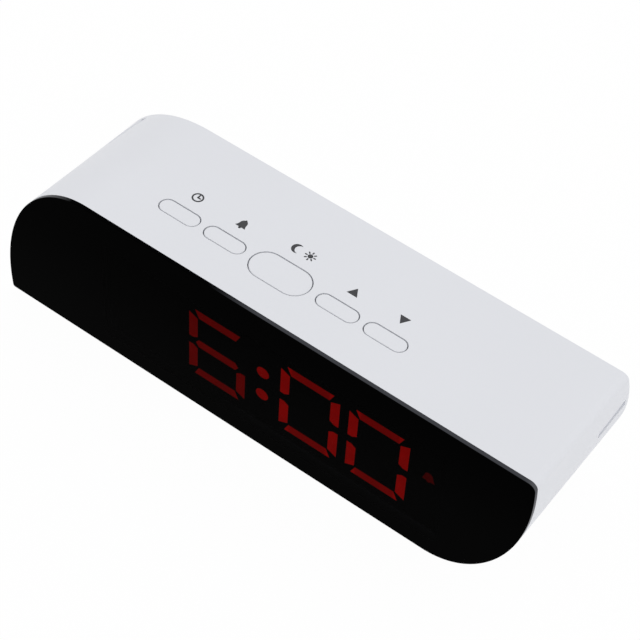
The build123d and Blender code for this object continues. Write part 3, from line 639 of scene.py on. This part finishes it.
class InsideFinish(bpy.types.Operator):
    """Boards, switches, chip, buzzer, metal parts, flat cables and leads"""

    bl_idname = "clock.inside_finish"
    bl_label = "Inside finish"

    def board(self, look, node):
        """A resin-coated board: tracks in a lighter green and tinned pads."""
        made, tree, shader = material(f"{words(node).capitalize()} resin")
        marks = placed(tree, "Circuit tracks", {"Pitch": 0.0012})
        grain = placed(tree, "Moulded grain", {"Grain": 0.0004, "Cloud": 0.008})
        resin = toned(tree, grain["Shade"], look.board, 0.88, 1.12)
        coated = mixed(tree, marks["Tracks"], resin, look.track)
        put(tree, shader["Base Color"], mixed(tree, marks["Pads"], coated, look.pad))
        put(tree, shader["Metallic"], sums(tree, "MULTIPLY", marks["Pads"], 0.9))
        roughness(tree, shader, marks["Tracks"], 0.42, 0.30)
        relief(tree, shader, marks["Tracks"], strength=0.4, distance=0.00003)
        wear([node], made)

    def metal(self, name, names, base, stretch, rough):
        """Plated metal with faint drawing marks."""
        drift = 0.06
        made, tree, shader = material(name)
        streaks = placed(tree, "Drawn metal", {"Stretch": stretch})
        put(tree, shader["Base Color"], toned(tree, streaks["Shade"], base, 0.93, 1.04))
        roughness(tree, shader, streaks["Shade"], rough - drift, rough + drift)
        shader["Metallic"].default_value = 1.0
        relief(tree, shader, streaks["Height"], strength=0.2, distance=0.00001)
        wear(names, made)

    def switches(self, look):
        """Black switch bodies with a plated cover plate on top."""
        plate_depth = (0.0005, 0.0003)
        normal = largest_face("snooze_key", (0, 0, 1))[0]
        top = float((points_of("snooze_switch") @ normal).max())
        made, tree, shader = material("Switch body")
        grain = placed(tree, "Moulded grain", {"Grain": 0.0002, "Cloud": 0.004})
        depth = sums(tree, "SUBTRACT", top, along(tree, tuple(normal)))
        plate = ramp(tree, depth, *plate_depth)
        body = toned(tree, grain["Shade"], look.black, 0.9, 1.1)
        put(tree, shader["Base Color"], mixed(tree, plate, body, look.steel))
        put(tree, shader["Metallic"], plate)
        roughness(tree, shader, grain["Shade"], 0.35, 0.5)
        relief(tree, shader, grain["Height"], strength=0.3, distance=0.00001)
        wear([f"{k}_switch" for k in KEYS], made)

    def cable(self, look, node):
        """A flat cable with a rib over each wire, and its first wire marked."""
        wires, mark_end = 8, (0.0011, 0.0009)
        low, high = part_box(node)
        made, tree, shader = material(f"{words(node).capitalize()} sleeve")
        x = axes(tree)[0]
        turns = sums(tree, "MULTIPLY", sums(tree, "SUBTRACT", x, low.x),
                     2 * np.pi * wires / (high.x - low.x))
        rib = ramp(tree, sums(tree, "COSINE", turns), 1.0, -1.0)
        first = ramp(tree, x, low.x + mark_end[0], low.x + mark_end[1])
        # Painted shade: the sleeve is darker in the grooves between the ribs and full colour on the ribs.
        plain = toned(tree, rib, look.ribbon, 0.72, 1.0)
        put(tree, shader["Base Color"], mixed(tree, first, plain, look.lead))
        roughness(tree, shader, rib, 0.6, 0.45)
        relief(tree, shader, rib, strength=0.5, distance=0.0001)
        wear([node], made)

    def leads(self, look):
        """A plus and a minus lead in one node, told apart at the middle between them."""
        soft = 0.0001
        low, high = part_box("battery_leads")
        middle = (low.y + high.y) / 2
        made, tree, shader = material("Lead sleeves")
        grain = placed(tree, "Moulded grain", {"Grain": 0.0004, "Cloud": 0.003})
        plus = ramp(tree, axes(tree)[1], middle - soft, middle + soft)
        sleeve = mixed(tree, plus, look.black, look.lead)
        put(tree, shader["Base Color"], mixed(tree, grain["Shade"], sleeve, tone(look.lead, 0.3)))
        roughness(tree, shader, grain["Shade"], 0.4, 0.55)
        relief(tree, shader, grain["Height"], strength=0.3, distance=0.00003)
        wear(["battery_leads"], made)

    def execute(self, context):
        look = context.scene.clock_finish
        for node in ("display_board", "key_board", "power_board"):
            self.board(look, node)
        wear(["controller_chip", "buzzer"],
             moulded("Chip resin", look.black, grain=0.00015, rough=0.55, spread=0.12))
        wear([f"{k}_plunger" for k in KEYS],
             moulded("Plunger plastic", look.grey, grain=0.0002, rough=0.5, cloud=0.002))
        wear(["led_chips"],
             moulded("Lamp resin", look.pad, grain=0.0002, rough=0.3, spread=0.1, cloud=0.001))
        self.metal("Plated steel", ["cell_springs", "cell_plates", "clock_crystal", "power_socket"],
                   look.steel, stretch=(9000.0, 9000.0, 300.0), rough=0.30)
        self.metal("Screw steel", [f"{k}_screws" for k in ("cover", "display", "key_board", "power_board")],
                   look.steel, stretch=(2500.0, 2500.0, 2500.0), rough=0.36)
        self.switches(look)
        for node in ("key_ribbon", "display_ribbon"):
            self.cable(look, node)
        self.leads(look)
        return {"FINISHED"}


class CellFinish(bpy.types.Operator):
    """Plain sleeves with a band at the button end, and plated ends"""

    bl_idname = "clock.cell_finish"
    bl_label = "Cell finish"

    def execute(self, context):
        look = context.scene.clock_finish
        # Lengths along a cell from its base, between which each mask goes from none to all.
        band_start, button_start, base_end = (0.0318, 0.0320), (0.04345, 0.04355), (0.00025, 0.00015)
        for i, name in enumerate(CELLS):
            low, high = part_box(f"{name}_cell")
            button_at_right = i % 2 == 0
            made, tree, shader = material(f"{name.capitalize()} cell sleeve")
            grain = placed(tree, "Moulded grain", {"Grain": 0.0005, "Cloud": 0.006})
            x = axes(tree)[0]
            run = sums(tree, "SUBTRACT", *((x, low.x) if button_at_right else (high.x, x)))
            band = ramp(tree, run, *band_start)
            bare = sums(tree, "MAXIMUM", ramp(tree, run, *button_start), ramp(tree, run, *base_end))
            wrap = mixed(tree, band, look.sleeve, look.band)
            shaded = mixed(tree, grain["Shade"], wrap, tone(look.sleeve, 1.2))
            shaded = mixed(tree, sums(tree, "MULTIPLY", band, 0.8), shaded, look.band)
            put(tree, shader["Base Color"], mixed(tree, bare, shaded, look.steel))
            put(tree, shader["Metallic"], sums(tree, "MAXIMUM", bare, sums(tree, "MULTIPLY", band, 0.6)))
            roughness(tree, shader, grain["Shade"], 0.28, 0.38)
            relief(tree, shader, grain["Height"], strength=0.15, distance=0.00002)
            wear([f"{name}_cell"], made)
        return {"FINISHED"}


class KeyMarks(bpy.types.Operator):
    """Printed marks behind the keys: a clock, a bell, a moon with a sun, and pointers up and down"""

    bl_idname = "clock.key_marks"
    bl_label = "Key marks"

    def shapes(self, size, line):
        """The marks' patches about their own middles, right and up in metres."""
        r = size / 2
        long_hand, short_hand = 0.58 * r, 0.46 * r
        hem, crown = -BELL_HANG * BELL_RISE * size, (1 - BELL_HANG) * BELL_RISE * size
        clapper, clapper_drop, knob = 0.11 * size, 0.06 * size, 0.08 * size
        moon, sun = np.array([[-0.62, 0.0], [0.62, 0.0]]) * size
        sun_radius, ray_start, ray_end, ray_width = 0.44 * r, 0.66 * r, 0.92 * r, 0.85 * line
        turns = np.linspace(0, 2 * np.pi, 8, endpoint=False)
        rays = [stroke(sun + ray_start * way, sun + ray_end * way, ray_width)
                for way in np.stack([np.cos(turns), np.sin(turns)], axis=-1)]
        arrow = pointer(0.95 * size, 0.82 * size)
        return {
            "mode": [disc((0, 0), r - line, r), stroke((0, 0), (0, long_hand), line),
                     stroke((0, 0), (short_hand, 0), line)],
            "alarm": [bell_shape(size), disc((0, hem - clapper_drop), 0.0, clapper, 24),
                      disc((0, crown), 0.0, knob, 24)],
            "snooze": [crescent(moon, r), disc(sun, 0.0, sun_radius)] + rays,
            "up": [arrow],
            "down": [-arrow],
        }

    def execute(self, context):
        marks = context.scene.clock_marks
        ink = moulded("Printed ink", context.scene.clock_finish.ink, grain=0.00012, rough=0.6,
                      depth=0.000006, spread=0.08, cloud=0.0015)
        sunk = marks.ink / 2
        normal, roof = largest_face("snooze_key", (0, 0, 1))
        right = np.array([1.0, 0.0, 0.0])
        back = np.cross(normal, right)
        for name, patches in self.shapes(marks.height, marks.line).items():
            key = points_of(f"{name}_key")
            row = key @ back
            distance = marks.snooze_back if name == "snooze" else marks.back
            middle_x = (key[:, 0].min() + key[:, 0].max()) / 2
            middle = right * middle_x + back * ((row.min() + row.max()) / 2 + distance) + normal * roof
            level = [middle - normal * sunk + p[..., :1] * right + p[..., 1:] * back
                     for p in (facing(patch) for patch in patches)]
            piece = solid_piece(f"{name}_mark", level, "case", ink)
            thick = piece.modifiers.new("Ink", "SOLIDIFY")
            thick.thickness = sunk + marks.ink
            thick.offset = 1.0
        return {"FINISHED"}


class DoorRibs(bpy.types.Operator):
    """Finger ribs on the battery door, beside its notch"""

    bl_idname = "clock.door_ribs"
    bl_label = "Door ribs"

    def execute(self, context):
        marks = context.scene.clock_marks
        low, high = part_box("battery_door")
        white = bpy.data.materials["Satin white plastic"]
        rib = rib_shape(marks.rib_width, marks.rib_rise, marks.rib_length)
        first = np.array([high.x - marks.rib_inset, high.y - marks.rib_sink, (low.z + high.z) / 2])
        step = np.array([-marks.rib_pitch, 0.0, 0.0])
        ribs = [first + i * step + rib for i in range(marks.rib_count)]
        solid_piece("door_ribs", ribs, "door", white)
        return {"FINISHED"}


class SoundCloth(bpy.types.Operator):
    """A dark woven disc on the inside of the rear cover, behind its sound holes"""

    bl_idname = "clock.sound_cloth"
    bl_label = "Sound cloth"

    def weave(self, black, thread):
        """Plain weave: the product of a wave across and a wave up lifts one thread over the other."""
        made, tree, shader = material("Woven dust cloth")
        x, _, z = axes(tree)
        across, up = (sums(tree, "SINE", sums(tree, "MULTIPLY", way, np.pi / thread)) for way in (x, z))
        over = ramp(tree, sums(tree, "MULTIPLY", across, up), -1.0, 1.0)
        # Painted light and shade: the raised threads are lighter and the sunken threads darker.
        put(tree, shader["Base Color"], toned(tree, over, black, 0.7, 1.3))
        roughness(tree, shader, over, 0.95, 0.8)
        relief(tree, shader, over, strength=0.5, distance=0.0001)
        return made

    def execute(self, context):
        marks = context.scene.clock_marks
        middle = np.array([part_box("battery_door")[1].x + marks.cloth_aside,
                           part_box("rear_cover")[1].y - marks.cloth_inset,
                           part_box("case_shell")[0].z + marks.cloth_height])
        sheet = middle + round_sheet(marks.cloth_radius, marks.cloth_depth)
        cloth = self.weave(context.scene.clock_finish.black, marks.cloth_thread)
        solid_piece("sound_cloth", [sheet], "case", cloth)
        return {"FINISHED"}


class StageMaker(bpy.types.Operator):
    """A white floor, an even sky, two soft lights and the camera"""

    bl_idname = "clock.stage"
    bl_label = "Stage"

    def seen(self, tree):
        """How much a ray shows the background: camera, mirror and see-through rays do."""
        path = tree.nodes.new("ShaderNodeLightPath").outputs
        straight = sums(tree, "MAXIMUM", path["Is Camera Ray"], path["Is Transmission Ray"])
        return sums(tree, "MAXIMUM", straight, path["Is Glossy Ray"])

    def blend(self, tree, amount, first, second, end):
        """Two shaders mixed by an amount into a tree's output."""
        both = add(tree, "ShaderNodeMixShader", {0: amount, 1: first.outputs[0], 2: second.outputs[0]})
        tree.links.new(both.outputs[0], tree.nodes.new(end).inputs["Surface"])

    def floor(self, stage):
        """A level sheet under the feet that is white to the eye and takes the clock's shadow."""
        half, steps, height, paint = stage.floor / 2, 9, -0.00005, (0.92, 0.92, 0.92)
        u, v = np.meshgrid(np.linspace(-half, half, steps), np.linspace(-half, half, steps), indexing="ij")
        points = np.stack([v, u, np.full_like(u, height)], axis=-1)
        mesh = bpy.data.meshes.new("studio_floor")
        mesh.from_pydata(points.reshape(-1, 3).tolist(), [], grid_faces(steps, steps).tolist())
        made = bpy.data.materials.new("Studio floor")
        made.use_nodes = True
        tree = made.node_tree
        tree.nodes.clear()
        matt = add(tree, "ShaderNodeBsdfDiffuse", {"Color": paint})
        white = add(tree, "ShaderNodeEmission", {"Color": (1.0, 1.0, 1.0), "Strength": 1.0})
        amount = sums(tree, "MULTIPLY", self.seen(tree), stage.floor_white)
        self.blend(tree, amount, matt, white, "ShaderNodeOutputMaterial")
        mesh.materials.append(made)
        piece = new_object("studio_floor", mesh)

    def sky(self, stage):
        """Even light from all round, white to the eye."""
        world = bpy.data.worlds.new("Studio sky")
        bpy.context.scene.world = world
        world.use_nodes = True
        tree = world.node_tree
        tree.nodes.clear()
        light = add(tree, "ShaderNodeBackground", {"Color": (1.0, 1.0, 1.0), "Strength": stage.sky})
        white = add(tree, "ShaderNodeBackground", {"Color": (1.0, 1.0, 1.0), "Strength": 1.0})
        self.blend(tree, self.seen(tree), light, white, "ShaderNodeOutputWorld")

    def lamp(self, stage, name, place, power):
        """A soft square light that looks at the clock."""
        data = bpy.data.lights.new(name, "AREA")
        data.shape = "SQUARE"
        data.size = stage.lamp_size
        data.energy = power
        lamp = new_object(name, data)
        lamp.location = place
        look = Vector(stage.lamp_aim) - Vector(place)
        lamp.rotation_euler = look.to_track_quat("-Z", "Y").to_euler()

    def camera(self, stage):
        """The camera looks back along its own depth axis at the aim, shifted aside and above."""
        a, e = stage.azimuth, stage.elevation
        back = Vector((np.sin(a) * np.cos(e), -np.cos(a) * np.cos(e), np.sin(e)))
        right = Vector((np.cos(a), np.sin(a), 0.0))
        up = back.cross(right)
        data = bpy.data.cameras.new("Studio camera")
        data.sensor_width = 36.0
        data.lens = stage.lens
        data.clip_start = 0.01
        data.clip_end = 20.0
        camera = new_object("Studio camera", data)
        place = Vector(stage.aim) + back * stage.distance + right * stage.aside + up * stage.above
        camera.matrix_world = Matrix.Translation(place) @ Matrix((right, up, back)).transposed().to_4x4()
        bpy.context.scene.camera = camera

    def execute(self, context):
        stage = context.scene.clock_stage
        context.scene.view_settings.view_transform = "Standard"
        self.floor(stage)
        self.sky(stage)
        self.lamp(stage, "Overhead light", stage.key_place, stage.key)
        self.lamp(stage, "Right light", stage.fill_place, stage.fill)
        self.camera(stage)
        return {"FINISHED"}


class ClockPanel(bpy.types.Panel):
    """Lists the clock's makers and their settings"""

    bl_idname = "VIEW3D_PT_clock"
    bl_label = "Desk clock"
    bl_space_type = "VIEW_3D"
    bl_region_type = "UI"
    bl_category = "Clock"

    def draw(self, context):
        for maker in MAKERS:
            self.layout.operator(maker.bl_idname)
        for group in (context.scene.clock_finish, context.scene.clock_marks, context.scene.clock_stage):
            box = self.layout.box()
            for name in group.__annotations__:
                box.prop(group, name)


GROUPS = {"clock_finish": ClockFinish, "clock_marks": ClockMarks, "clock_stage": ClockStage}
MAKERS = (CaseFinish, LensFinish, DisplayFinish, InsideFinish, CellFinish, KeyMarks, DoorRibs, SoundCloth,
          StageMaker)


def register():
    """Registers the settings, the makers and the panel."""
    for name, group in GROUPS.items():
        bpy.utils.register_class(group)
        setattr(bpy.types.Scene, name, bpy.props.PointerProperty(type=group))
    for made in (*MAKERS, ClockPanel):
        bpy.utils.register_class(made)


def unregister():
    """Takes the panel, the makers and the settings away again."""
    for made in reversed((*MAKERS, ClockPanel)):
        bpy.utils.unregister_class(made)
    for name, group in GROUPS.items():
        delattr(bpy.types.Scene, name)
        bpy.utils.unregister_class(group)


def main():
    """Makes the whole clock."""
    register()
    bpy.ops.clock.case_finish()
    bpy.ops.clock.lens_finish()
    bpy.ops.clock.display_finish()
    bpy.ops.clock.inside_finish()
    bpy.ops.clock.cell_finish()
    bpy.ops.clock.key_marks()
    bpy.ops.clock.door_ribs()
    bpy.ops.clock.sound_cloth()
    bpy.ops.clock.stage()


if __name__ == "__main__":
    main()
